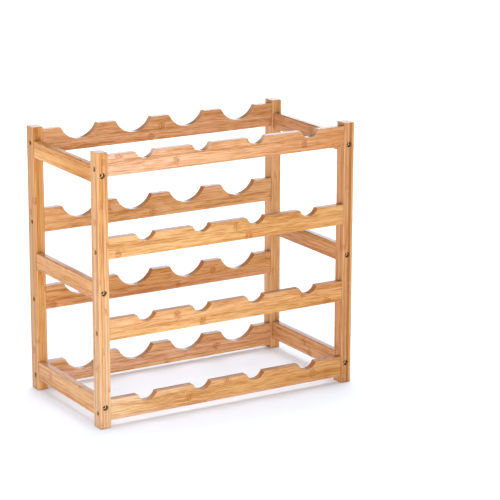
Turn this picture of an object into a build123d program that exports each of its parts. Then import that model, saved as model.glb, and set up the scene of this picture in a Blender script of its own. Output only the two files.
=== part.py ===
from build123d import *
import os

# Bamboo wine rack for bottles lying on their sides: four tiers of four.
# Millimetres. +X runs along the front from left to right, +Y from front to back, +Z up.
# The origin is on the floor, midway between the four posts.

# Overall size
WIDTH = 430.0
DEPTH = 225.0
HEIGHT = 405.0

# Posts
POST_WIDTH = 17.0  # along X
POST_DEPTH = 21.0  # along Y
POST_EDGE = 1.2  # rounding of the four long edges
POST_END_EDGE = 0.7  # rounding around the top and the foot
RAIL_END_EDGE = 0.3  # chamfer around both ends of every rail, which leaves a fine groove at each joint

# Bottle rails run along X between two posts. Front ones hold necks, rear ones hold bodies.
RAIL_THICKNESS = 12.0
BOTTLE_RAIL_SETBACK = 1.0  # behind the front faces of the posts
BOTTLE_RAIL_EDGE = 0.9  # rounding of the long edges
NECK_RAIL_HEIGHT = 31.0
BODY_RAIL_HEIGHT = 36.0
TIERS = 4
TIER_PITCH = 119.5
TOP_TIER_DROP = 4.5  # from the top of the posts to the top of the highest rails

# Round notches in the bottle rails
BOTTLES = 4
BOTTLE_PITCH = 91.5
NECK_NOTCH_RADIUS = 16.4
NECK_NOTCH_DEPTH = 10.8
BODY_NOTCH_RADIUS = 33.6
BODY_NOTCH_DEPTH = 19.9
NOTCH_TIP_EDGE = 1.4  # rounding where a notch meets the top of its rail

# Side rails run along Y between a front post and a rear post: height of the underside, own height
SIDE_RAILS = {"bottom": (16.0, 29.0), "middle": (189.0, 26.0), "top": (359.0, 26.0)}
SIDE_RAIL_SETBACK = 1.5  # inside the outer faces of the posts
SIDE_RAIL_EDGE = 2.4  # rounding of the long edges

# Frame screws pass through a post along Y into the end of a side rail
FRAME_SCREW = {
    "head_radius": 3.8,
    "head_height": 4.0,
    "shank_radius": 2.0,
    "length": 40.0,
    "socket_flats": 4.0,
}
FRAME_SCREW_HEIGHTS = {"bottom": 31.5, "middle": 202.0, "top": 372.0}
FRAME_RECESS_RADIUS = 4.3
FRAME_RECESS_DEPTH = 9.5

# Rail screws pass through a post along X into the end of a bottle rail
RAIL_SCREW = {
    "head_radius": 2.9,
    "head_height": 3.2,
    "shank_radius": 1.8,
    "length": 32.0,
    "socket_flats": 2.5,
}
RAIL_SCREW_DROP = 19.5  # below the top of the rail
RAIL_SCREW_INSET = 9.0  # behind the front face of the post
RAIL_RECESS_RADIUS = 3.5
RAIL_RECESS_DEPTH = 7.5

# Both kinds of screw
RECESS_MOUTH_EDGE = 0.3  # chamfer around the mouth of each recess
SCREW_CLEARANCE = 0.1  # around the shank, in a post
PILOT_CLEARANCE = 0.05  # around the shank, in a rail
PILOT_END_GAP = 1.0  # past the screw's point
SCREW_POINT = 4.0  # length of the tapered point
SCREW_TIP_RADIUS = 0.4
SCREW_HEAD_EDGE = 0.5
SOCKET_DEPTH = 2.2

# Dowels, one beside each screw, keep a rail from turning about its screws
DOWEL_RADIUS = 2.5
DOWEL_LENGTH = 16.0  # half in the post, half in the rail
DOWEL_EDGE = 0.5
DOWEL_CLEARANCE = 0.05  # around the dowel
DOWEL_END_GAP = 0.3
RAIL_DOWEL_OFFSET = 7.0  # above or below a rail screw
SIDE_DOWEL_OFFSET = 8.0  # above or below a frame screw

# Where the pieces stand
SIDES = {"left": -1, "right": 1}  # sign of X
ROWS = {"front": -1, "rear": 1}  # sign of Y
POST_X = (WIDTH - POST_WIDTH) / 2
POST_Y = (DEPTH - POST_DEPTH) / 2
SPAN_X = WIDTH - 2 * POST_WIDTH  # length of a bottle rail
SPAN_Y = DEPTH - 2 * POST_DEPTH  # length of a side rail
SIDE_RAIL_X = WIDTH / 2 - SIDE_RAIL_SETBACK - RAIL_THICKNESS / 2
BOTTLE_XS = [(i - (BOTTLES - 1) / 2) * BOTTLE_PITCH for i in range(BOTTLES)]
TIER_TOPS = [HEIGHT - TOP_TIER_DROP - i * TIER_PITCH for i in range(TIERS)]  # highest first


def post_front(row):
    """Y of the front face of the posts in the front or the rear row."""
    return row * POST_Y - POST_DEPTH / 2


def bottle_rail_y(row):
    """Y of the middle of the bottle rails in the front or the rear row."""
    return post_front(row) + BOTTLE_RAIL_SETBACK + RAIL_THICKNESS / 2


def rail_dowel_z(tier):
    """The dowel stands above its screw, but below it on the lowest tier, clear of the frame screw."""
    above = -1 if tier == TIERS - 1 else 1
    return TIER_TOPS[tier] - RAIL_SCREW_DROP + above * RAIL_DOWEL_OFFSET


def side_dowel_z(level):
    """The dowel stands below its screw, but above it on the bottom rail, clear of the rail screw."""
    above = 1 if level == "bottom" else -1
    return FRAME_SCREW_HEIGHTS[level] + above * SIDE_DOWEL_OFFSET


def rail_screw_planes(side, row, x):
    """Planes across one post's rail screws at distance x from the middle, facing outwards."""
    y = post_front(row) + RAIL_SCREW_INSET
    return [Plane((side * x, y, top - RAIL_SCREW_DROP), z_dir=(side, 0, 0)) for top in TIER_TOPS]


def frame_screw_planes(side, row, y):
    """Planes across one post's frame screws at distance y from the middle, facing outwards."""
    return [Plane((side * POST_X, row * y, z), z_dir=(0, row, 0)) for z in FRAME_SCREW_HEIGHTS.values()]


def rail_dowel_planes(side, row, out):
    """Planes at the joints of one post's bottle rails, facing outwards (out = 1) or inwards (out = -1)."""
    y = bottle_rail_y(row)
    return [
        Plane((side * SPAN_X / 2, y, rail_dowel_z(tier)), z_dir=(out * side, 0, 0))
        for tier in range(TIERS)
    ]


def side_dowel_planes(side, row, out):
    """Planes at the joints of one post's side rails, facing outwards (out = 1) or inwards (out = -1)."""
    return [
        Plane((side * SIDE_RAIL_X, row * SPAN_Y / 2, side_dowel_z(level)), z_dir=(0, out * row, 0))
        for level in SIDE_RAILS
    ]


def each_post(planes, *args):
    """The planes of all four posts together."""
    return [plane for row in ROWS.values() for side in SIDES.values() for plane in planes(side, row, *args)]


def bore_dowel_sockets():
    """Bores a blind socket for half a dowel at each location in force."""
    Hole(DOWEL_RADIUS + DOWEL_CLEARANCE, depth=DOWEL_LENGTH / 2 + DOWEL_END_GAP)


def save(piece, name):
    """Labels a finished piece and writes it to its own file."""
    piece.part.label = name
    export_step(piece.part, f"parts/{name}.step")


def make_post(side, row):
    with BuildPart() as post:
        with BuildSketch(Plane((side * POST_X, row * POST_Y, 0))):
            Rectangle(POST_WIDTH, POST_DEPTH)
        extrude(amount=HEIGHT)
        fillet(post.edges().filter_by(Axis.Z), POST_EDGE)
        fillet(post.faces().filter_by(Axis.Z).edges(), POST_END_EDGE)
        with Locations(*frame_screw_planes(side, row, DEPTH / 2)):
            CounterBoreHole(
                FRAME_SCREW["shank_radius"] + SCREW_CLEARANCE,
                counter_bore_radius=FRAME_RECESS_RADIUS,
                counter_bore_depth=FRAME_RECESS_DEPTH,
                depth=POST_DEPTH,
            )
        with Locations(*rail_screw_planes(side, row, WIDTH / 2)):
            CounterBoreHole(
                RAIL_SCREW["shank_radius"] + SCREW_CLEARANCE,
                counter_bore_radius=RAIL_RECESS_RADIUS,
                counter_bore_depth=RAIL_RECESS_DEPTH,
                depth=POST_WIDTH,
            )
        circles = post.edges().filter_by(GeomType.CIRCLE)
        frame_screw_mouths = circles.group_by(Axis((0, 0, 0), (0, row, 0)))[-1]
        rail_screw_mouths = circles.group_by(Axis((0, 0, 0), (side, 0, 0)))[-1]
        chamfer(frame_screw_mouths + rail_screw_mouths, RECESS_MOUTH_EDGE)
        with Locations(*rail_dowel_planes(side, row, -1), *side_dowel_planes(side, row, -1)):
            bore_dowel_sockets()
    return post


def make_bottle_rail(row, tier, height, notch_radius, notch_depth):
    top = TIER_TOPS[tier]
    back = bottle_rail_y(row) + RAIL_THICKNESS / 2
    pilot_depth = RAIL_SCREW["length"] - (POST_WIDTH - RAIL_RECESS_DEPTH) + PILOT_END_GAP
    with BuildPart() as rail:
        with BuildSketch(Plane.XZ.offset(-back)) as outline:
            with Locations((0, top - height / 2)):
                Rectangle(SPAN_X, height)
            with Locations(*[(x, top - notch_depth + notch_radius) for x in BOTTLE_XS]):
                Circle(notch_radius, mode=Mode.SUBTRACT)
            notch_tips = outline.vertices().group_by(Axis.Y)[-1].sort_by(Axis.X)[1:-1]
            fillet(notch_tips, NOTCH_TIP_EDGE)
        extrude(amount=RAIL_THICKNESS)
        long_edges = rail.faces().filter_by(Axis.Y).edges().filter_by(Axis.Z, reverse=True)
        fillet(long_edges, BOTTLE_RAIL_EDGE)
        chamfer(rail.faces().filter_by(Axis.X).edges(), RAIL_END_EDGE)
        for side in SIDES.values():
            with Locations(rail_screw_planes(side, row, SPAN_X / 2)[tier]):
                Hole(RAIL_SCREW["shank_radius"] + PILOT_CLEARANCE, depth=pilot_depth)
            with Locations(rail_dowel_planes(side, row, 1)[tier]):
                bore_dowel_sockets()
    return rail


def make_side_rail(side, level):
    underside, height = SIDE_RAILS[level]
    index = list(SIDE_RAILS).index(level)
    pilot_depth = FRAME_SCREW["length"] - (POST_DEPTH - FRAME_RECESS_DEPTH) + PILOT_END_GAP
    with BuildPart() as rail:
        with BuildSketch(Plane.XZ.offset(-SPAN_Y / 2)):
            with Locations((side * SIDE_RAIL_X, underside + height / 2)):
                RectangleRounded(RAIL_THICKNESS, height, SIDE_RAIL_EDGE)
        extrude(amount=SPAN_Y)
        chamfer(rail.faces().filter_by(Axis.Y).edges(), RAIL_END_EDGE)
        for row in ROWS.values():
            with Locations(frame_screw_planes(side, row, SPAN_Y / 2)[index]):
                Hole(FRAME_SCREW["shank_radius"] + PILOT_CLEARANCE, depth=pilot_depth)
            with Locations(side_dowel_planes(side, row, 1)[index]):
                bore_dowel_sockets()
    return rail


def make_screw(head_radius, head_height, shank_radius, length, socket_flats):
    """One hex-socket wood screw, pointing down, with the underside of its head at z = 0."""
    with BuildPart() as screw:
        with BuildSketch(Plane.XZ):
            with BuildLine():
                Polyline(
                    (0, head_height),
                    (head_radius, head_height),
                    (head_radius, 0),
                    (shank_radius, 0),
                    (shank_radius, SCREW_POINT - length),
                    (SCREW_TIP_RADIUS, -length),
                    (0, -length),
                    close=True,
                )
            make_face()
        revolve(axis=Axis.Z)
        chamfer(screw.edges().group_by(Axis.Z)[-1], SCREW_HEAD_EDGE)
        with BuildSketch(Plane.XY.offset(head_height)):
            RegularPolygon(socket_flats / 2, side_count=6, major_radius=False)
        extrude(amount=-SOCKET_DEPTH, mode=Mode.SUBTRACT)
    return screw


os.makedirs("parts", exist_ok=True)

for row_name, row in ROWS.items():
    for side_name, side in SIDES.items():
        save(make_post(side, row), f"post_{row_name}_{side_name}")

for tier in range(TIERS):
    neck_rail = make_bottle_rail(ROWS["front"], tier, NECK_RAIL_HEIGHT, NECK_NOTCH_RADIUS, NECK_NOTCH_DEPTH)
    save(neck_rail, f"front_rail_{tier + 1}")
    body_rail = make_bottle_rail(ROWS["rear"], tier, BODY_RAIL_HEIGHT, BODY_NOTCH_RADIUS, BODY_NOTCH_DEPTH)
    save(body_rail, f"rear_rail_{tier + 1}")

for side_name, side in SIDES.items():
    for level in SIDE_RAILS:
        save(make_side_rail(side, level), f"side_rail_{side_name}_{level}")

# Each kind of screw is one node, a group of separate solids, with its heads on the floors of the recesses
frame_screw = make_screw(**FRAME_SCREW)
with BuildPart() as frame_screws:
    with Locations(*each_post(frame_screw_planes, DEPTH / 2 - FRAME_RECESS_DEPTH)):
        add(frame_screw.part)
save(frame_screws, "frame_screws")

rail_screw = make_screw(**RAIL_SCREW)
with BuildPart() as rail_screws:
    with Locations(*each_post(rail_screw_planes, WIDTH / 2 - RAIL_RECESS_DEPTH)):
        add(rail_screw.part)
save(rail_screws, "rail_screws")

# The dowels are two nodes in the same way, each dowel centred on its joint
with BuildPart() as dowel:
    Cylinder(DOWEL_RADIUS, DOWEL_LENGTH)
    chamfer(dowel.edges().filter_by(GeomType.CIRCLE), DOWEL_EDGE)

with BuildPart() as frame_dowels:
    with Locations(*each_post(side_dowel_planes, 1)):
        add(dowel.part)
save(frame_dowels, "frame_dowels")

with BuildPart() as rail_dowels:
    with Locations(*each_post(rail_dowel_planes, 1)):
        add(dowel.part)
save(rail_dowels, "rail_dowels")
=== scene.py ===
import math

import bmesh
import bpy
from mathutils import Matrix, Vector


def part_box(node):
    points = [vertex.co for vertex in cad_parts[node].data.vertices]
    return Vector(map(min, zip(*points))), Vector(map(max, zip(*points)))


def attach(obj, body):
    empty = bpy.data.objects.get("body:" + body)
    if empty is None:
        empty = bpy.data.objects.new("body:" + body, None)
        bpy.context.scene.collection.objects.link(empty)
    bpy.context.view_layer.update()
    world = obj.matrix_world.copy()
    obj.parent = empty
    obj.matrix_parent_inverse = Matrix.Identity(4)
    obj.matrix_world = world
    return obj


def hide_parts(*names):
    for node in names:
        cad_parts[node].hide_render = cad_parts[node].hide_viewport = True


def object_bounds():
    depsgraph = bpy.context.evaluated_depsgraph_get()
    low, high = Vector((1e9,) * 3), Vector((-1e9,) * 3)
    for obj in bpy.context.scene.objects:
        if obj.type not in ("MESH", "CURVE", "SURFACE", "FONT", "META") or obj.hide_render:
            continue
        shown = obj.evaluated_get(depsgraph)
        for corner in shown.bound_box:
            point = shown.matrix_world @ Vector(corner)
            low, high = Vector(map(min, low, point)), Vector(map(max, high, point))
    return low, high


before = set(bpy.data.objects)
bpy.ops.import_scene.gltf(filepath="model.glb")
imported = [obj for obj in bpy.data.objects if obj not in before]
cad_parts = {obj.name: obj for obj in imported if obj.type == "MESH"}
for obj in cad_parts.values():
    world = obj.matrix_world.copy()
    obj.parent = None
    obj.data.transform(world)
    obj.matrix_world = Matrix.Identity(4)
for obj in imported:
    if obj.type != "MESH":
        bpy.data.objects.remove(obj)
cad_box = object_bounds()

# Bamboo wine rack: four tiers of notched rails between four posts, on a plain white floor.
# Metres, in the frame of the CAD model: +X along the front, +Y to the back, +Z up.

MM = 0.001

# The camera looks from the front left, a little above, through a long lens.
VIEW_AZIMUTH = math.radians(-31.41)
VIEW_ELEVATION = math.radians(14.99)
VIEW_ROLL = math.radians(0.23)
VIEW_DISTANCE = 3.273
VIEW_TARGET = Vector((0.1028, 0.0, 0.1978))
LENS_MM = 154.37

RACK_MIDDLE = Vector((0, 0, 0.2))  # what the lights face
FLOOR_SIZE = 60.0
FLOOR_WHITE = (0.80, 0.86, 0.95, 1)
FLOOR_GLOW = (0.95, 0.97, 1.0, 1)
GLOW_BY_DISTANCE = (0.4, 1.2, 0.10, 0.30)  # the range of distances, then how strong the glow is at its ends
SKY_WHITE = (0.96, 0.97, 1.0, 1)
SKY_BY_HEIGHT = {"From Min": 0.1, "From Max": 0.6, "To Min": 1.0, "To Max": 0.14}

# How each kind of piece is laminated:
#   axes           the axes across its layers, across its strips and along its grain
#   layer, strip   the thickness of a layer and the width of a strip, in mm
#   wander         how far its fibres stray sideways, in mm
#   fibre_stretch  how many times longer than the plain pattern its fibres are
#   tint_spread    how much of the range of tints its strips take
#   kinship        how much of its tint a strip shares with the others of its layer
#   node_depth     how strongly the nodes of the bamboo show
#   streak_depth   how strongly the orange streaks show
POST_BUILD = {
    "axes": "XYZ",
    "layer": 4.25,
    "strip": 10.5,
    "wander": 2.0,
    "fibre_stretch": 4.0,
    "tint_spread": 0.62,
    "kinship": 0.85,
    "node_depth": 0.5,
    "streak_depth": 0.32,
}
BOTTLE_RAIL_BUILD = {
    "axes": "YZX",
    "layer": 4.0,
    "strip": 17.0,
    "wander": 5.5,
    "fibre_stretch": 1.9,
    "tint_spread": 0.6,
    "kinship": 0.6,
    "node_depth": 1.0,
    "streak_depth": 0.68,
}
SIDE_RAIL_BUILD = {
    "axes": "XZY",
    "layer": 4.0,
    "strip": 15.0,
    "wander": 4.0,
    "fibre_stretch": 2.0,
    "tint_spread": 0.6,
    "kinship": 0.6,
    "node_depth": 1.0,
    "streak_depth": 0.5,
}

# The notches in the bottle rails, in mm
BOTTLE_PITCH = 91.5
NECK_NOTCH = {"radius": 16.4, "depth": 10.8}
BODY_NOTCH = {"radius": 33.6, "depth": 19.9}

FRAME_SCREW = {"head_height": 4.0 * MM, "shank_radius": 2.0 * MM, "socket_flats": 4.0 * MM}
RAIL_SCREW = {"head_height": 3.2 * MM, "shank_radius": 1.8 * MM, "socket_flats": 2.5 * MM}
SCREW_SEGMENTS = 24
DOWEL_SEGMENTS = 56
SAME_POINT = 0.001 * MM  # corners nearer than this belong together
SMOOTH_ANGLE = math.radians(35)


def screen(red, green, blue):
    """A colour given in ordinary 0 to 255 screen values, as linear light."""
    def channel(value):
        value /= 255
        return value / 12.92 if value <= 0.04045 else ((value + 0.055) / 1.055) ** 2.4
    return channel(red), channel(green), channel(blue), 1.0


# ---------------------------------------------------------------- camera, floor and light


def make_camera():
    data = bpy.data.cameras.new("camera")
    data.lens = LENS_MM
    data.clip_end = FLOOR_SIZE
    camera = bpy.data.objects.new("camera", data)
    bpy.context.scene.collection.objects.link(camera)
    flat = math.cos(VIEW_ELEVATION)
    back = Vector((math.sin(VIEW_AZIMUTH) * flat, -math.cos(VIEW_AZIMUTH) * flat, math.sin(VIEW_ELEVATION)))
    right = Vector((0, 0, 1)).cross(back).normalized()
    up = back.cross(right)
    level = Matrix((right, up, back)).transposed().to_4x4()
    place = Matrix.Translation(VIEW_TARGET + back * VIEW_DISTANCE)
    camera.matrix_world = place @ level @ Matrix.Rotation(VIEW_ROLL, 4, "Z")
    bpy.context.scene.camera = camera


def make_light(name, kind, place, power, **settings):
    """A light at place that faces the middle of the rack."""
    data = bpy.data.lights.new(name, kind)
    data.energy = power
    for key, value in settings.items():
        setattr(data, key, value)
    light = bpy.data.objects.new(name, data)
    bpy.context.scene.collection.objects.link(light)
    light.location = place
    light.rotation_euler = (Vector(place) - RACK_MIDDLE).to_track_quat("Z", "Y").to_euler()
    return light


def make_floor():
    """A plain white floor that glows a little, and more away from the rack, so that it fades into white."""
    bpy.ops.mesh.primitive_plane_add(size=FLOOR_SIZE)
    floor = bpy.context.object
    floor.name = "floor"
    s = Shader("white_floor")
    place = s.node("ShaderNodeTexCoord", {}).outputs["Object"]
    reach = s.node("ShaderNodeVectorMath", {0: place}, operation="LENGTH").outputs["Value"]
    s.feed(s.surface["Emission Strength"], s.spread(reach, *GLOW_BY_DISTANCE))
    s.surface["Emission Color"].default_value = FLOOR_GLOW
    s.surface["Base Color"].default_value = FLOOR_WHITE
    s.surface["Roughness"].default_value = 0.9
    s.surface["Specular IOR Level"].default_value = 0.1
    floor.data.materials.append(s.material)
    return floor


def make_world():
    """White all round, bright at the horizon and dim overhead."""
    world = bpy.data.worlds.new("soft_white")
    world.use_nodes = True
    tree = world.node_tree
    direction = tree.nodes.new("ShaderNodeTexCoord").outputs["Generated"]
    height = tree.nodes.new("ShaderNodeSeparateXYZ")
    tree.links.new(direction, height.inputs[0])
    fade = tree.nodes.new("ShaderNodeMapRange")
    for key, value in SKY_BY_HEIGHT.items():
        fade.inputs[key].default_value = value
    tree.links.new(height.outputs["Z"], fade.inputs["Value"])
    background = tree.nodes["Background"].inputs
    background["Color"].default_value = SKY_WHITE
    tree.links.new(fade.outputs["Result"], background["Strength"])
    bpy.context.scene.world = world


def make_lights(floor):
    """A broad light overhead, one that only the floor receives, for the soft shadow under the rack, a panel
    behind and a softbox at the front left."""
    make_light("overhead_light", "SUN", place=(0.15, 0.2, 1.6), power=0.65, angle=math.radians(40))
    shadow_light = make_light("shadow_light", "SUN", place=(0.20, 0.30, 1.6), power=2.1,
                              angle=math.radians(70))
    lit = bpy.data.collections.new("lit_by_shadow_light")
    lit.objects.link(floor)
    shadow_light.light_linking.receiver_collection = lit
    make_light("rear_panel", "AREA", place=(1.0, 1.6, 0.6), power=8, shape="RECTANGLE",
               size=2.4, size_y=0.8)
    make_light("left_softbox", "AREA", place=(-0.7, -1.15, 0.5), power=7.6, shape="RECTANGLE",
               size=0.7, size_y=0.7)


def make_stage():
    floor = make_floor()
    make_world()
    make_lights(floor)
    bpy.context.scene.view_settings.view_transform = "Standard"


# ---------------------------------------------------------------- shader building


class Shader:
    """One material's nodes, with short calls that take sockets or plain values and return sockets."""

    def __init__(self, name):
        self.material = bpy.data.materials.new(name)
        self.material.use_nodes = True
        self.tree = self.material.node_tree
        self.surface = self.tree.nodes["Principled BSDF"].inputs

    def node(self, kind, inputs, **settings):
        made = self.tree.nodes.new(kind)
        for key, value in settings.items():
            setattr(made, key, value)
        for key, value in inputs.items():
            self.feed(made.inputs[key], value)
        return made

    def feed(self, socket, value):
        if isinstance(value, bpy.types.NodeSocket):
            self.tree.links.new(value, socket)
        else:
            socket.default_value = value

    def math(self, operation, a, b=0.0, c=0.0):
        return self.node("ShaderNodeMath", {0: a, 1: b, 2: c}, operation=operation).outputs[0]

    def add(self, a, b):
        return self.math("ADD", a, b)

    def subtract(self, a, b):
        return self.math("SUBTRACT", a, b)

    def multiply(self, a, b):
        return self.math("MULTIPLY", a, b)

    def divide(self, a, b):
        return self.math("DIVIDE", a, b)

    def least(self, a, b):
        return self.math("MINIMUM", a, b)

    def most(self, a, b):
        return self.math("MAXIMUM", a, b)

    def size(self, a):
        return self.math("ABSOLUTE", a)

    def reach(self, a, b):
        """How far a point at a and b is from the origin."""
        return self.math("SQRT", self.add(self.multiply(a, a), self.multiply(b, b)))

    def centred(self, a, period):
        """a measured from the nearest multiple of period."""
        turns = self.math("FRACT", self.add(self.divide(a, period), 0.5))
        return self.multiply(self.subtract(turns, 0.5), period)

    def separate(self, vector):
        return self.node("ShaderNodeSeparateXYZ", {0: vector}).outputs

    def combine(self, x, y, z):
        return self.node("ShaderNodeCombineXYZ", {0: x, 1: y, 2: z}).outputs[0]

    def noise(self, vector, scale=1.0, detail=2.0, roughness=0.5):
        inputs = {"Vector": vector, "Scale": scale, "Detail": detail, "Roughness": roughness}
        return self.node("ShaderNodeTexNoise", inputs).outputs["Fac"]

    def dots(self, vector):
        """Distance to the nearest of many scattered points, about one in each unit cell."""
        return self.node("ShaderNodeTexVoronoi", {"Vector": vector, "Scale": 1.0}).outputs["Distance"]

    def chance(self, x, y, z):
        """Three random numbers that stay the same for the same x, y and z."""
        place = self.combine(x, y, z)
        made = self.node("ShaderNodeTexWhiteNoise", {"Vector": place}, noise_dimensions="3D")
        return self.separate(made.outputs["Color"])

    def blend(self, a, b, share):
        """a moved towards b by share."""
        return self.math("MULTIPLY_ADD", self.subtract(b, a), share, a)

    def spread(self, value, low, high, to_low=0.0, to_high=1.0):
        """value carried smoothly from low..high to to_low..to_high, and held beyond them."""
        inputs = {"Value": value, "From Min": low, "From Max": high, "To Min": to_low, "To Max": to_high}
        return self.node("ShaderNodeMapRange", inputs, interpolation_type="SMOOTHSTEP").outputs["Result"]

    def mix(self, share, a, b, mode="MIX"):
        made = self.tree.nodes.new("ShaderNodeMix")
        made.data_type = "RGBA"
        made.blend_type = mode
        factor, first, second = (s for s in made.inputs if s.enabled)
        self.feed(factor, share)
        self.feed(first, a)
        self.feed(second, b)
        return next(s for s in made.outputs if s.enabled)

    def tinted(self, colour, tint):
        """colour with each channel multiplied by that of tint."""
        return self.mix(1.0, colour, tint, "MULTIPLY")

    def ramp(self, value, stops):
        made = self.node("ShaderNodeValToRGB", {"Fac": value})
        elements = made.color_ramp.elements
        while len(elements) < len(stops):
            elements.new(0.5)
        for element, (position, colour) in zip(elements, stops):
            element.position = position
            element.color = colour
        return made.outputs["Color"]

    def crevices(self, reach):
        """0 in a deep corner or a hole, 1 in the open, judged within reach."""
        return self.node("ShaderNodeAmbientOcclusion", {"Distance": reach}, samples=8).outputs["AO"]

    def bump(self, height, depth):
        inputs = {"Height": height, "Distance": depth, "Strength": 1.0}
        return self.node("ShaderNodeBump", inputs).outputs["Normal"]


# ---------------------------------------------------------------- bamboo

# Colours. A ramp's first column is the place of each stop.
STRIP_TINTS = (
    (0.00, screen(206, 136, 68)),
    (0.22, screen(222, 162, 96)),
    (0.45, screen(226, 171, 107)),
    (0.62, screen(228, 168, 120)),
    (0.80, screen(232, 182, 130)),
    (1.00, screen(238, 194, 160)),
)
GRAIN_TINTS = (
    (0.05, (0.66, 0.48, 0.30, 1.0)),
    (0.35, (0.90, 0.82, 0.70, 1.0)),
    (0.55, (1.0, 1.0, 1.0, 1.0)),
    (0.95, (1.08, 1.20, 1.40, 1.0)),
)
STREAK_ORANGE = screen(196, 116, 48)
BUNDLE_BROWN = screen(132, 74, 32)
NODE_BROWN = screen(120, 62, 26)
NODE_HALO = screen(208, 118, 52)
SEAM_BROWN = screen(136, 80, 40)
# the colour of the edges: worn, and lighter also as a painted highlight
WORN_EDGE_AND_HIGHLIGHT = screen(250, 214, 170)
SAWN_END = screen(226, 178, 128)
# the notch walls: the bamboo's end-grain brown, darkened further as painted shade
NOTCH_WALL_AND_SHADE = screen(186, 108, 46)
DEEP_BROWN = screen(52, 22, 8)

# How much of the colour below it each mark covers
BUNDLE_COVER = 0.35
HALO_COVER = 0.36
ARC_COVER = 0.75
SEAM_COVER = 0.5
END_BUNDLE_COVER = 0.5
SAWN_COVER = 0.65
SHADE_COVER = 0.97

GRAIN_CONTRAST = 4.6
STRIP_CONTRAST = 0.18
FINE_SHARE = 0.6  # of the grain's tint, the rest coming from the broad bands

# How fine each pattern is, in turns per mm: across the grain and along it
FINE_FIBRES = (1.2, 0.075)
STREAKS = (0.72, 0.036)
BROAD_BANDS = (0.12, 0.010)
FIBRE_BUNDLES = (1.25, 0.018)
STRIP_SHIFT = 40.0  # how far apart along the grain two strips may read these patterns, in turns

# The same for patterns that don't follow the fibres: across the layers, across the strips, along the grain
NODE_OUTLINE = (0.3, 0.3, 0.1)
ARC_BREAKS = (0.5, 0.6, 0.35)
WANDERING = (0.02, 0.035, 0.016)

# The range of its pattern over which each mark comes or goes
STREAK_RANGE = (0.38, 0.46)
BUNDLE_RANGE = (0.10, 0.34)
ARC_GAP_RANGE = (0.40, 0.56)
PATCH_RANGE = (0.2, 1.3)  # of the squared distance from a node's middle, in half lengths
PATCH_RAGGEDNESS = 1.6
SAWN_RANGE = (0.3, 0.9)  # of how nearly the surface faces along the grain
CORNER_RANGE = (0.18, 0.86)  # of how open a corner is
CORNER_SHADE = 0.62  # the deepest shade in a corner, that in a hole being 1
LACQUER_RANGE = (0.50, 0.78)  # of how flat the view is
LEAST_LACQUER = 0.02

# Marks whose strength follows another pattern: the range of that pattern, then the strengths at its ends
STREAKS_BY_BAND = (0.35, 0.65, 0.3, 0.95)
WEAR_AND_HIGHLIGHT_BY_FIBRE = (0.3, 0.7, 0.15, 0.6)

# Distances on the bamboo, in mm. A pair is where a mark begins to fade and where it is gone.
SKIN = 0.02  # keeps a point of the outer face inside the outermost layer
GLUE_LINE = (0.05, 0.45)
WEAR_AND_HIGHLIGHT_WIDTH = (0.2, 0.9)
BORE_SHADE = (1.8, 5.5)  # here how deep in a hole its shade begins and where it is full
LAYER_WANDER = 0.3  # how far fibres stray across the layers, for each mm sideways
NODE_SPACING = 215.0
NODE_LENGTH = 6.5
NODE_WIDTH = 7.5
NODE_OFFSET = 5.0  # how far a node's middle may be from that of its strip, to both sides together
NODE_RAGGEDNESS = 14.0
NODE_PARTING = 9.0  # how far fibres step aside for a node
PARTING_LENGTH = 10.0
ARC_SPACING = 3.3
ARC_WIDTH = (0.3, 1.1)
ARC_BOW = 0.07  # how far an arc falls back, for each mm aside, squared

# In metres
CREVICE_REACH = 7 * MM
RELIEF = 0.06 * MM

# Heights in the relief, as shares of its full height
FIBRE_HEIGHT = 0.6
BUNDLE_HOLLOW = 0.5
SEAM_HOLLOW = 0.8

# The roughness of plain bamboo, and how much its fibres and its sawn faces add
LEAST_ROUGHNESS = 0.30
FIBRE_ROUGHNESS = 0.22
SAWN_ROUGHNESS = 0.2

# How much deeper (up to 1) or paler (down to -1) than the rest some pieces are, at the low and the high end
# of their grain. This is partly bamboo that varies between boards and along them and partly painted light
# and shade: paler where more light falls, deeper in shade.
DEEP_TONE_AND_SHADE = (0.80, 0.66, 0.48, 1.0)
PALE_TONE_AND_LIGHT = (1.18, 1.50, 2.30, 1.0)
TONE_LIGHT_AND_SHADE_DEPTHS = {
    "post_rear_left": (0.20, 0.80),
    "post_front_left": (-0.50, 0.10),
    "post_front_right": (0.40, 0.60),
    "front_rail_1": (-0.60, 0.85),
    "front_rail_2": (-0.22, 0.35),
    "front_rail_3": (-0.22, 0.35),
    "front_rail_4": (-0.70, 0.60),
    "rear_rail_1": (0.20, 0.35),
    "rear_rail_3": (0.45, 0.45),
    "rear_rail_4": (-0.40, 0.00),
    "side_rail_right_top": (0.45, 0.45),
    "side_rail_right_middle": (0.45, 0.45),
    "side_rail_right_bottom": (0.30, 0.30),
    "side_rail_left_top": (0.50, -0.45),
    "side_rail_left_middle": (-0.20, -0.20),
    "side_rail_left_bottom": (-0.45, -0.45),
}
PLAIN_DEPTH = (0.0, 0.0)

# The side rails on the left are a warmer bamboo than the rest
WARM_TONES = {
    "side_rail_left_top": (1.14, 1.00, 0.78, 1.0),
    "side_rail_left_middle": (1.14, 1.06, 1.00, 1.0),
    "side_rail_left_bottom": (1.12, 1.02, 0.92, 1.0),
}
PLAIN_TONE = (1.0, 1.0, 1.0, 1.0)

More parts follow.
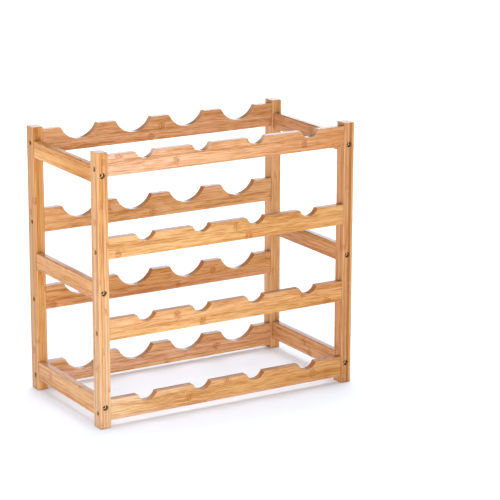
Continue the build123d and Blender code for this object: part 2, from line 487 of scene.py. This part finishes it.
# The lacquer where it is seen at a flat angle, as its tint and how strongly it shows; the tint paints a
# reflection. It is nearly clear on the highest pieces, bluish on the others, and weaker on the lower front
# rails and the left side rails: lit and shaded copies of one lacquer, as painted light and shade.
CLEAR_LIT_LACQUER = ((0.90, 0.86, 0.95, 1.0), 1.0)
BLUISH_SHADED_LACQUER = ((0.68, 0.69, 0.97, 1.0), 1.0)
WEAK_SHADED_LACQUERS = {
    "front_rail_2": ((0.78, 0.67, 0.80, 1.0), 0.80),
    "front_rail_3": ((0.86, 0.66, 0.50, 1.0), 0.28),
    "front_rail_4": ((0.66, 0.56, 0.54, 1.0), 0.28),
    "side_rail_left_top": ((1.0, 0.94, 0.82, 1.0), 0.45),
    "side_rail_left_middle": ((0.80, 0.76, 0.92, 1.0), 0.70),
    "side_rail_left_bottom": ((0.80, 0.76, 0.92, 1.0), 0.70),
}
TOP_TIER_DEPTH = 45 * MM  # the highest pieces are those whose tops are within this of the top of the rack

# The notch walls of the highest bottle rails are paler than the rest, as painted light where the top tier is
# lit
PAINTED_LIT_NOTCH_WALLS = {"front_rail_1": screen(247, 214, 190), "rear_rail_1": screen(232, 184, 144)}


class Bamboo(Shader):
    """Laminated bamboo for one piece: strips glued together, each with its own tint, fibres and nodes.
    All lengths inside are in mm, measured from the piece's lowest corner."""

    def __init__(self, node, low, high, build, notch, seed):
        super().__init__("bamboo_" + node)
        self.build, self.notch, self.seed = build, notch, seed
        self.depth = TONE_LIGHT_AND_SHADE_DEPTHS.get(node, PLAIN_DEPTH)
        self.warmth = WARM_TONES.get(node, PLAIN_TONE)
        # cut ends take the sawn bamboo's colour; the notch walls take painted shade, and on the highest
        # rails painted light
        self.sawn_colour_and_painted_light = PAINTED_LIT_NOTCH_WALLS.get(node, NOTCH_WALL_AND_SHADE if notch else SAWN_END)
        # Which lacquer a piece takes is painted light and shade: lit on the highest pieces, shaded on the
        # others
        lacquer = CLEAR_LIT_LACQUER if high.z > cad_box[1][2] - TOP_TIER_DEPTH else BLUISH_SHADED_LACQUER
        self.lacquer = WEAK_SHADED_LACQUERS.get(node, lacquer)

        place = self.separate(self.node("ShaderNodeTexCoord", {}).outputs["Object"])
        placed = {axis: self.divide(self.subtract(p, at), MM) for axis, p, at in zip("XYZ", place, low)}
        across, self.width, self.grain = (placed[axis] for axis in build["axes"])
        sizes = dict(zip("XYZ", (high - low) / MM))
        self.full_across, self.full_width, self.full_grain = (sizes[axis] for axis in build["axes"])
        self.across = self.least(self.most(across, SKIN), self.full_across - SKIN)
        self.cut_strips()
        self.grow_nodes()
        self.draw_fibres()
        self.find_surfaces()
        self.paint()
        self.polish()

    def cut_strips(self):
        """Which strip a point is in, the random numbers of that strip, and how near a glue line it is. The
        last number of each draw keeps it apart from the other draws."""
        thickness, breadth = self.build["layer"], self.build["strip"]
        layer = self.math("FLOOR", self.divide(self.across, thickness))
        offset = self.chance(layer, self.seed, 1.0)[0]
        shifted = self.math("MULTIPLY_ADD", offset, breadth, self.width)
        strip = self.math("FLOOR", self.divide(shifted, breadth))
        self.start_luck, self.aside_luck, self.along_luck = self.chance(layer, strip, self.seed)
        own = self.chance(strip, layer, self.seed + 0.5)
        shared = self.chance(layer, self.seed, 2.0)
        kinship = self.build["kinship"]
        self.tint_luck, self.value_luck = (self.blend(own[i], shared[i], kinship) for i in range(2))

        # A layer seam shows on the edges of the board only, not on its two faces
        to_face = self.least(self.across, self.subtract(self.full_across, self.across))
        outer_half = self.math("LESS_THAN", to_face, thickness / 2)
        layer_seam = self.size(self.centred(self.across, thickness))
        layer_seam = self.most(layer_seam, self.multiply(outer_half, thickness))
        strip_seam = self.size(self.centred(shifted, breadth))
        self.seam = self.spread(self.least(layer_seam, strip_seam), *GLUE_LINE, 1.0, 0.0)
        self.from_middle = self.centred(self.add(shifted, breadth / 2), breadth)

    def scaled(self, scales, start=0.0):
        """A place to read a pattern at that doesn't follow the fibres."""
        per_layer, per_width, per_length = scales
        return self.combine(self.multiply(self.across, per_layer), self.multiply(self.width, per_width),
                            self.math("MULTIPLY_ADD", self.grain, per_length, start))

    def lengthwise(self, across_grain, along_grain):
        """A place to read a pattern at that is drawn out along the fibres."""
        along_grain /= self.build["fibre_stretch"]
        return self.combine(self.multiply(self.bent_across, across_grain),
                            self.multiply(self.bent_width, across_grain),
                            self.math("MULTIPLY_ADD", self.grain, along_grain, self.strip_start))

    def grow_nodes(self):
        """The joints of the culm: in each strip a ragged patch of short dark arcs, with a warm halo."""
        self.ragged = self.subtract(self.noise(self.scaled(NODE_OUTLINE, self.seed + 3.0)), 0.5)
        along = self.math("MULTIPLY_ADD", self.along_luck, NODE_SPACING, self.grain)
        along = self.centred(self.math("MULTIPLY_ADD", self.ragged, NODE_RAGGEDNESS, along), NODE_SPACING)
        aside = self.math("MULTIPLY_ADD", self.subtract(self.aside_luck, 0.5), NODE_OFFSET, self.from_middle)
        self.to_node = self.size(along)
        reach = self.add(self.math("POWER", self.divide(self.to_node, NODE_LENGTH), 2.0),
                         self.math("POWER", self.divide(self.size(aside), NODE_WIDTH), 2.0))
        outline = self.add(reach, self.multiply(self.ragged, PATCH_RAGGEDNESS))
        self.node_patch = self.spread(outline, *PATCH_RANGE, 1.0, 0.0)
        bow = self.multiply(self.multiply(aside, aside), ARC_BOW)
        arcs = self.size(self.centred(self.add(along, bow), ARC_SPACING))
        unbroken = self.spread(self.noise(self.scaled(ARC_BREAKS), detail=3.0), *ARC_GAP_RANGE)
        arcs = self.multiply(self.spread(arcs, *ARC_WIDTH, 1.0, 0.0), unbroken)
        self.node_arcs = self.multiply(self.multiply(arcs, self.node_patch), self.build["node_depth"])

    def draw_fibres(self):
        """Fibres run along the grain, wander a little and part around the nodes."""
        wander = self.noise(self.scaled(WANDERING, self.seed * 7.3), detail=1.0)
        wander = self.multiply(self.subtract(wander, 0.5), self.build["wander"])
        near_node = self.spread(self.to_node, 0.0, PARTING_LENGTH, 1.0, 0.0)
        parting = self.multiply(near_node, self.multiply(self.ragged, NODE_PARTING))
        self.bent_width = self.add(self.add(self.width, wander), parting)
        self.bent_across = self.math("MULTIPLY_ADD", wander, LAYER_WANDER, self.across)
        self.strip_start = self.multiply(self.start_luck, STRIP_SHIFT)
        self.fine = self.noise(self.lengthwise(*FINE_FIBRES), detail=3.0, roughness=0.65)
        streaks = self.noise(self.lengthwise(*STREAKS), detail=2.5, roughness=0.6)
        self.streaks = self.spread(streaks, *STREAK_RANGE, 1.0, 0.0)
        self.broad = self.noise(self.lengthwise(*BROAD_BANDS), detail=1.0)
        bundles = self.dots(self.lengthwise(*FIBRE_BUNDLES))
        self.bundles = self.spread(bundles, *BUNDLE_RANGE, 1.0, 0.0)

    def find_surfaces(self):
        """Edges, where a point is near two surfaces at once, cut ends, where the grain meets the surface,
        and the walls of bored holes, which are surfaces well inside the board's box."""
        to_faces = [self.least(at, self.subtract(full, at)) for at, full in
                    ((self.across, self.full_across), (self.width, self.full_width))]
        second = self.most(*to_faces)
        to_end = self.least(self.grain, self.subtract(self.full_grain, self.grain))
        inside = self.least(self.least(*to_faces), to_end)
        self.bored = 0.0 if self.notch else self.spread(inside, *BORE_SHADE)
        if self.notch:
            radius = self.notch["radius"]
            first_middle = self.full_grain / 2 - BOTTLE_PITCH / 2
            beside = self.centred(self.subtract(self.grain, first_middle), BOTTLE_PITCH)
            above = self.subtract(self.width, self.full_width - self.notch["depth"] + radius)
            to_notch = self.size(self.subtract(self.reach(beside, above), radius))
            second = self.most(self.least(*to_faces), self.least(second, to_notch))
        self.edge = self.spread(second, *WEAR_AND_HIGHLIGHT_WIDTH, 1.0, 0.0)
        normal = self.separate(self.node("ShaderNodeNewGeometry", {}).outputs["Normal"])
        facing = dict(zip("XYZ", normal))[self.build["axes"][2]]
        self.cut_end = self.spread(self.size(facing), *SAWN_RANGE)

    def paint(self):
        """The colour: the strip's tint, the marks of the grain, the piece's tone with painted light and
        shade, worn edges with a painted highlight, and painted shade in corners and holes.
        """
        variety = self.build["tint_spread"]
        tint = self.math("MULTIPLY_ADD", self.subtract(self.tint_luck, 0.5), variety, 0.5)
        colour = self.ramp(tint, STRIP_TINTS)
        contrast = STRIP_CONTRAST * variety
        value = self.math("MULTIPLY_ADD", self.value_luck, contrast, 1 - contrast / 2)
        colour = self.tinted(colour, self.combine(value, value, value))

        grain = self.add(self.multiply(self.fine, FINE_SHARE), self.multiply(self.broad, 1 - FINE_SHARE))
        grain = self.math("MULTIPLY_ADD", self.subtract(grain, 0.5), GRAIN_CONTRAST, 0.5)
        colour = self.tinted(colour, self.ramp(grain, GRAIN_TINTS))
        streaks = self.multiply(self.streaks, self.spread(self.broad, *STREAKS_BY_BAND))
        colour = self.mix(self.multiply(streaks, self.build["streak_depth"]), colour, STREAK_ORANGE)
        colour = self.mix(self.multiply(self.bundles, BUNDLE_COVER), colour, BUNDLE_BROWN)
        colour = self.mix(self.multiply(self.node_patch, HALO_COVER), colour, NODE_HALO)
        colour = self.mix(self.multiply(self.node_arcs, ARC_COVER), colour, NODE_BROWN)
        colour = self.mix(self.multiply(self.seam, SEAM_COVER), colour, SEAM_BROWN)
        # sawn ends and notch walls, with the notch walls' painted light and shade
        ends = self.mix(self.multiply(self.bundles, END_BUNDLE_COVER), self.sawn_colour_and_painted_light, BUNDLE_BROWN)
        colour = self.mix(self.multiply(self.cut_end, SAWN_COVER), colour, ends)

        # the piece's tone along its grain, partly painted light and shade
        at_low, at_high = self.depth
        depth = self.math("MULTIPLY_ADD", self.grain, (at_high - at_low) / self.full_grain, at_low)
        deeper = self.most(depth, 0.0)
        paler = self.most(self.multiply(depth, -1.0), 0.0)
        colour = self.mix(deeper, colour, self.tinted(colour, DEEP_TONE_AND_SHADE))
        colour = self.mix(paler, colour, self.tinted(colour, PALE_TONE_AND_LIGHT))
        colour = self.tinted(colour, self.warmth)

        # The edges turn lighter: partly wear, partly a painted highlight
        worn_and_highlight = self.multiply(self.edge, self.spread(self.fine, *WEAR_AND_HIGHLIGHT_BY_FIBRE))
        colour = self.mix(worn_and_highlight, colour, WORN_EDGE_AND_HIGHLIGHT)
        in_corners = self.spread(self.crevices(CREVICE_REACH), *CORNER_RANGE, CORNER_SHADE, 0.0)
        self.shade = self.most(in_corners, self.bored)
        colour = self.mix(self.multiply(self.shade, SHADE_COVER), colour, DEEP_BROWN)
        self.feed(self.surface["Base Color"], colour)

    def polish(self):
        """A satin surface, with relief along the grain, under a lacquer that shows at flat angles. There is
        little lacquer in holes and corners, and hardly any where a notch is cut across the grain."""
        rough = self.math("MULTIPLY_ADD", self.fine, FIBRE_ROUGHNESS, LEAST_ROUGHNESS)
        rough = self.math("MULTIPLY_ADD", self.cut_end, SAWN_ROUGHNESS, rough)
        self.feed(self.surface["Roughness"], rough)
        relief = self.multiply(self.fine, FIBRE_HEIGHT)
        relief = self.subtract(relief, self.multiply(self.bundles, BUNDLE_HOLLOW))
        relief = self.subtract(relief, self.multiply(self.seam, SEAM_HOLLOW))
        self.feed(self.surface["Normal"], self.bump(relief, RELIEF))
        # The lacquer's tint paints a reflection at flat angles, and differs between pieces as painted light
        # and shade
        tint, strength = self.lacquer
        glancing = self.node("ShaderNodeLayerWeight", {"Blend": 0.5}).outputs["Facing"]
        coat = self.spread(glancing, *LACQUER_RANGE, LEAST_LACQUER, strength)
        dull = self.most(self.cut_end, self.shade) if self.notch else self.shade
        self.feed(self.surface["Coat Weight"], self.multiply(coat, self.subtract(1.0, dull)))
        self.surface["Coat Roughness"].default_value = 0.2
        self.surface["Coat Tint"].default_value = tint
        self.surface["Specular IOR Level"].default_value = 0.12


def dress_bamboo():
    """Gives each post and rail its own bamboo, cut from its own strips."""
    builds = {
        "post": (POST_BUILD, None),
        "front": (BOTTLE_RAIL_BUILD, NECK_NOTCH),
        "rear": (BOTTLE_RAIL_BUILD, BODY_NOTCH),
        "side": (SIDE_RAIL_BUILD, None),
    }
    for seed, node in enumerate(sorted(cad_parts)):
        kind = node.split("_")[0]
        if kind not in builds:
            continue
        low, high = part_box(node)
        bamboo = Bamboo(node, low, high, *builds[kind], seed + 1.0)
        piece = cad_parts[node]
        piece.material_slots[0].material = bamboo.material


# ---------------------------------------------------------------- screws and dowels


def solids_of(node):
    """The lowest and highest corner of every separate solid of a CAD node that is a group."""
    mesh = bmesh.new()
    mesh.from_mesh(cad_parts[node].data)
    bmesh.ops.remove_doubles(mesh, verts=mesh.verts, dist=SAME_POINT)
    boxes = []
    left = set(mesh.verts)
    while left:
        solid = [left.pop()]
        for vert in solid:
            for edge in vert.link_edges:
                other = edge.other_vert(vert)
                if other in left:
                    left.remove(other)
                    solid.append(other)
        corners = [[pick(v.co[i] for v in solid) for i in range(3)] for pick in (min, max)]
        boxes.append([Vector(corner) for corner in corners])
    mesh.free()
    return sorted(boxes, key=lambda box: [round(x, 5) for x in box[0]])


def placed_along(box):
    """Puts a local +Z on the solid's long axis, pointing out of the rack, with z = 0 at its outer end."""
    low, high = box
    extents = high - low
    axis = max(range(3), key=lambda i: extents[i])
    middle = (low + high) / 2
    out = Vector((0, 0, 0))
    out[axis] = math.copysign(1, middle[axis])
    end = middle + out * extents[axis] / 2
    return Matrix.Translation(end) @ out.to_track_quat("Z", "Y").to_matrix().to_4x4()


def stack_rings(mesh, rings, segments, place):
    """Adds a closed body to mesh: rings of points from one end to the other, each a height and a radius
    that may be a function of the angle. A ring of radius 0 is a single point. Each point also keeps
    where it is in the body's own frame, for the material."""
    local = mesh.verts.layers.float_vector["local"]

    def add(point):
        vert = mesh.verts.new(place @ point)
        vert[local] = point
        return vert

    made = []
    for height, radius in rings:
        if radius == 0:
            made.append([add(Vector((0, 0, height)))])
            continue
        points = []
        for i in range(segments):
            angle = 2 * math.pi * i / segments
            reach = radius(angle) if callable(radius) else radius
            points.append(add(Vector((reach * math.cos(angle), reach * math.sin(angle), height))))
        made.append(points)
    for lower, upper in zip(made, made[1:]):
        for i in range(segments):
            j = (i + 1) % segments
            below = [lower[i % len(lower)], lower[j % len(lower)]]
            above = [upper[j % len(upper)], upper[i % len(upper)]]
            mesh.faces.new(list(dict.fromkeys(below + above)))


def screw_rings(length, head_radius, head_height, shank_radius, socket_flats):
    """A hex-socket wood screw from its point to the bottom of its socket, with z = 0 on top of its head."""
    pitch = 1.8 * MM
    rings_per_turn = 7
    half_thread = 0.34  # half the foot of a thread, in turns
    point = 4.0 * MM  # the length over which the screw narrows
    tip_share = 0.22  # how thick it still is at the point
    root = shank_radius * 0.68
    plain_shank = shank_radius * 0.96
    neck = shank_radius * 1.05
    neck_height = 0.5 * MM
    run_out = 0.9 * MM
    plain_share = 0.38  # of the length below the head, without a thread
    thread_top = -head_height - (length - head_height) * plain_share

    def thread(height):
        taper = min(1.0, (height + length) / point)
        fade = min(1.0, max(0.0, (thread_top - height) / run_out))

        def radius(angle):
            phase = (height / pitch - angle / (2 * math.pi)) % 1.0
            crest = max(0.0, 1 - abs(phase - 0.5) / half_thread)
            return (root + (shank_radius - root) * crest * fade) * (tip_share + (1 - tip_share) * taper)
        return radius

    rings = [(-length, 0)]
    steps = int((length + thread_top) / (pitch / rings_per_turn))
    for i in range(1, steps + 1):
        height = -length + (length + thread_top) * i / steps
        rings.append((height, thread(height)))

    chamfer = 0.25 * MM
    rings += [
        (thread_top + run_out / 2, plain_shank),
        (-head_height - neck_height, plain_shank),
        (-head_height, neck),
        (-head_height, head_radius - chamfer),
        (-head_height + chamfer, head_radius),
    ]
    rim = 0.7 * MM
    rim_steps = 5
    for i in range(rim_steps + 1):
        turn = math.pi / 2 * i / rim_steps
        rings.append((-rim * (1 - math.sin(turn)), head_radius - rim * (1 - math.cos(turn))))

    def hexagon(angle):
        return socket_flats / 2 / math.cos(angle % (math.pi / 3) - math.pi / 6)

    corner = socket_flats / 2 / math.cos(math.pi / 6)
    socket_depth = 2.2 * MM
    bevel_width = 0.35 * MM
    bevel_depth = 0.30 * MM
    drill_radius = socket_flats * 0.42
    drill_tip = 0.6 * MM
    rings += [
        (0.0, corner + bevel_width),
        (-bevel_depth, hexagon),
        (-socket_depth, hexagon),
        (-socket_depth, drill_radius),
        (-socket_depth - drill_tip, 0),
    ]
    return rings


def frame_screw(length, radius):
    return screw_rings(length, radius, **FRAME_SCREW)


def rail_screw(length, radius):
    return screw_rings(length, radius, **RAIL_SCREW)


def dowel(length, radius):
    """A fluted dowel with chamfered ends, with z = 0 at one end."""
    flutes = 14
    flute_depth = 0.16 * MM
    chamfer = 0.5 * MM

    def fluted(angle):
        return radius - flute_depth * max(0.0, math.cos(angle * flutes)) ** 2

    return [
        (-length, 0),
        (-length, radius - chamfer),
        (-length + chamfer, fluted),
        (-chamfer, fluted),
        (0.0, radius - chamfer),
        (0.0, 0),
    ]


def make_set(name, node, material, rings_for, segments):
    """One piece that holds a detailed body in place of each solid of a CAD group."""
    mesh = bmesh.new()
    mesh.verts.layers.float_vector.new("local")
    for box in solids_of(node):
        sizes = sorted(box[1] - box[0])
        stack_rings(mesh, rings_for(sizes[2], sizes[0] / 2), segments, placed_along(box))
    bmesh.ops.recalc_face_normals(mesh, faces=mesh.faces)
    data = bpy.data.meshes.new(name)
    mesh.to_mesh(data)
    mesh.free()
    data.materials.append(material)
    data.set_sharp_from_angle(angle=SMOOTH_ANGLE)
    for polygon in data.polygons:
        polygon.use_smooth = True
    piece = bpy.data.objects.new(name, data)
    bpy.context.scene.collection.objects.link(piece)
    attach(piece, "root")
    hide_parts(node)


# Colours: a dark and a bright one for each material, then the painted shade in the sockets and threads
ZINC = (screen(236, 200, 128), screen(255, 240, 196))
BRONZE = (screen(176, 112, 62), screen(204, 142, 90))
BEECH = (screen(196, 152, 104), screen(228, 196, 152))
SOCKET_SHADE_BROWN = screen(20, 12, 6)
SOCKET_SHADE_COVER = 0.95

# How fine each pattern is, in turns per metre
STEEL_MOTTLING = 900.0
BEECH_FIBRES = 1400.0
TURNING_MARKS = 9.0  # these in turns per mm

# A screw has painted shade in its socket, which is near its axis and below its top, in mm, and in its
# threads
SOCKET_RADIUS = (2.0, 2.4)
SOCKET_TOP = (-0.5, -0.2)
THREAD_REACH = 1.2 * MM
THREAD_RANGE = (0.3, 0.8)

# The least roughness, and how much the pattern adds to it
STEEL_ROUGHNESS = (0.22, 0.25)
BEECH_ROUGHNESS = (0.6, 0.2)

STEEL_RELIEF = 0.02 * MM
BEECH_RELIEF = 0.05 * MM


def steel(name, dark, bright):
    """Plated steel: faint turning marks and mottling, with painted shade inside the socket and in the
    threads.
    """
    s = Shader(name)
    place = s.node("ShaderNodeTexCoord", {}).outputs["Object"]
    local = s.node("ShaderNodeAttribute", {}, attribute_name="local").outputs["Vector"]
    x, y, height = (s.divide(value, MM) for value in s.separate(local))
    reach = s.reach(x, y)
    mottle = s.noise(place, scale=STEEL_MOTTLING, detail=4.0)
    turned = s.combine(s.multiply(reach, TURNING_MARKS), s.multiply(height, TURNING_MARKS), 0.0)
    marks = s.noise(turned, detail=1.0)
    colour = s.mix(mottle, dark, bright)
    near_axis = s.spread(reach, *SOCKET_RADIUS, 1.0, 0.0)
    below_top = s.spread(height, *SOCKET_TOP, 1.0, 0.0)
    in_socket = s.multiply(near_axis, below_top)
    in_thread = s.spread(s.crevices(THREAD_REACH), *THREAD_RANGE, 1.0, 0.0)
    # painted shade in the socket and in the threads
    shade = s.multiply(s.most(in_thread, in_socket), SOCKET_SHADE_COVER)
    colour = s.mix(shade, colour, SOCKET_SHADE_BROWN)
    s.feed(s.surface["Base Color"], colour)
    least, added = STEEL_ROUGHNESS
    s.feed(s.surface["Roughness"], s.math("MULTIPLY_ADD", mottle, added, least))
    s.feed(s.surface["Normal"], s.bump(s.add(mottle, marks), STEEL_RELIEF))
    s.surface["Metallic"].default_value = 0.35
    return s.material


def beech():
    """Plain dowel wood with short fine pores."""
    s = Shader("dowel_beech")
    place = s.node("ShaderNodeTexCoord", {}).outputs["Object"]
    fibre = s.noise(place, scale=BEECH_FIBRES, detail=3.0)
    s.feed(s.surface["Base Color"], s.mix(fibre, *BEECH))
    least, added = BEECH_ROUGHNESS
    s.feed(s.surface["Roughness"], s.math("MULTIPLY_ADD", fibre, added, least))
    s.feed(s.surface["Normal"], s.bump(fibre, BEECH_RELIEF))
    return s.material


def make_fasteners():
    zinc = steel("zinc_steel", *ZINC)
    bronze = steel("bronzed_steel", *BRONZE)
    wood = beech()
    make_set("frame_screw_set", "frame_screws", zinc, frame_screw, SCREW_SEGMENTS)
    make_set("rail_screw_set", "rail_screws", bronze, rail_screw, SCREW_SEGMENTS)
    make_set("frame_dowel_set", "frame_dowels", wood, dowel, DOWEL_SEGMENTS)
    make_set("rail_dowel_set", "rail_dowels", wood, dowel, DOWEL_SEGMENTS)


make_camera()
make_stage()
dress_bamboo()
make_fasteners()
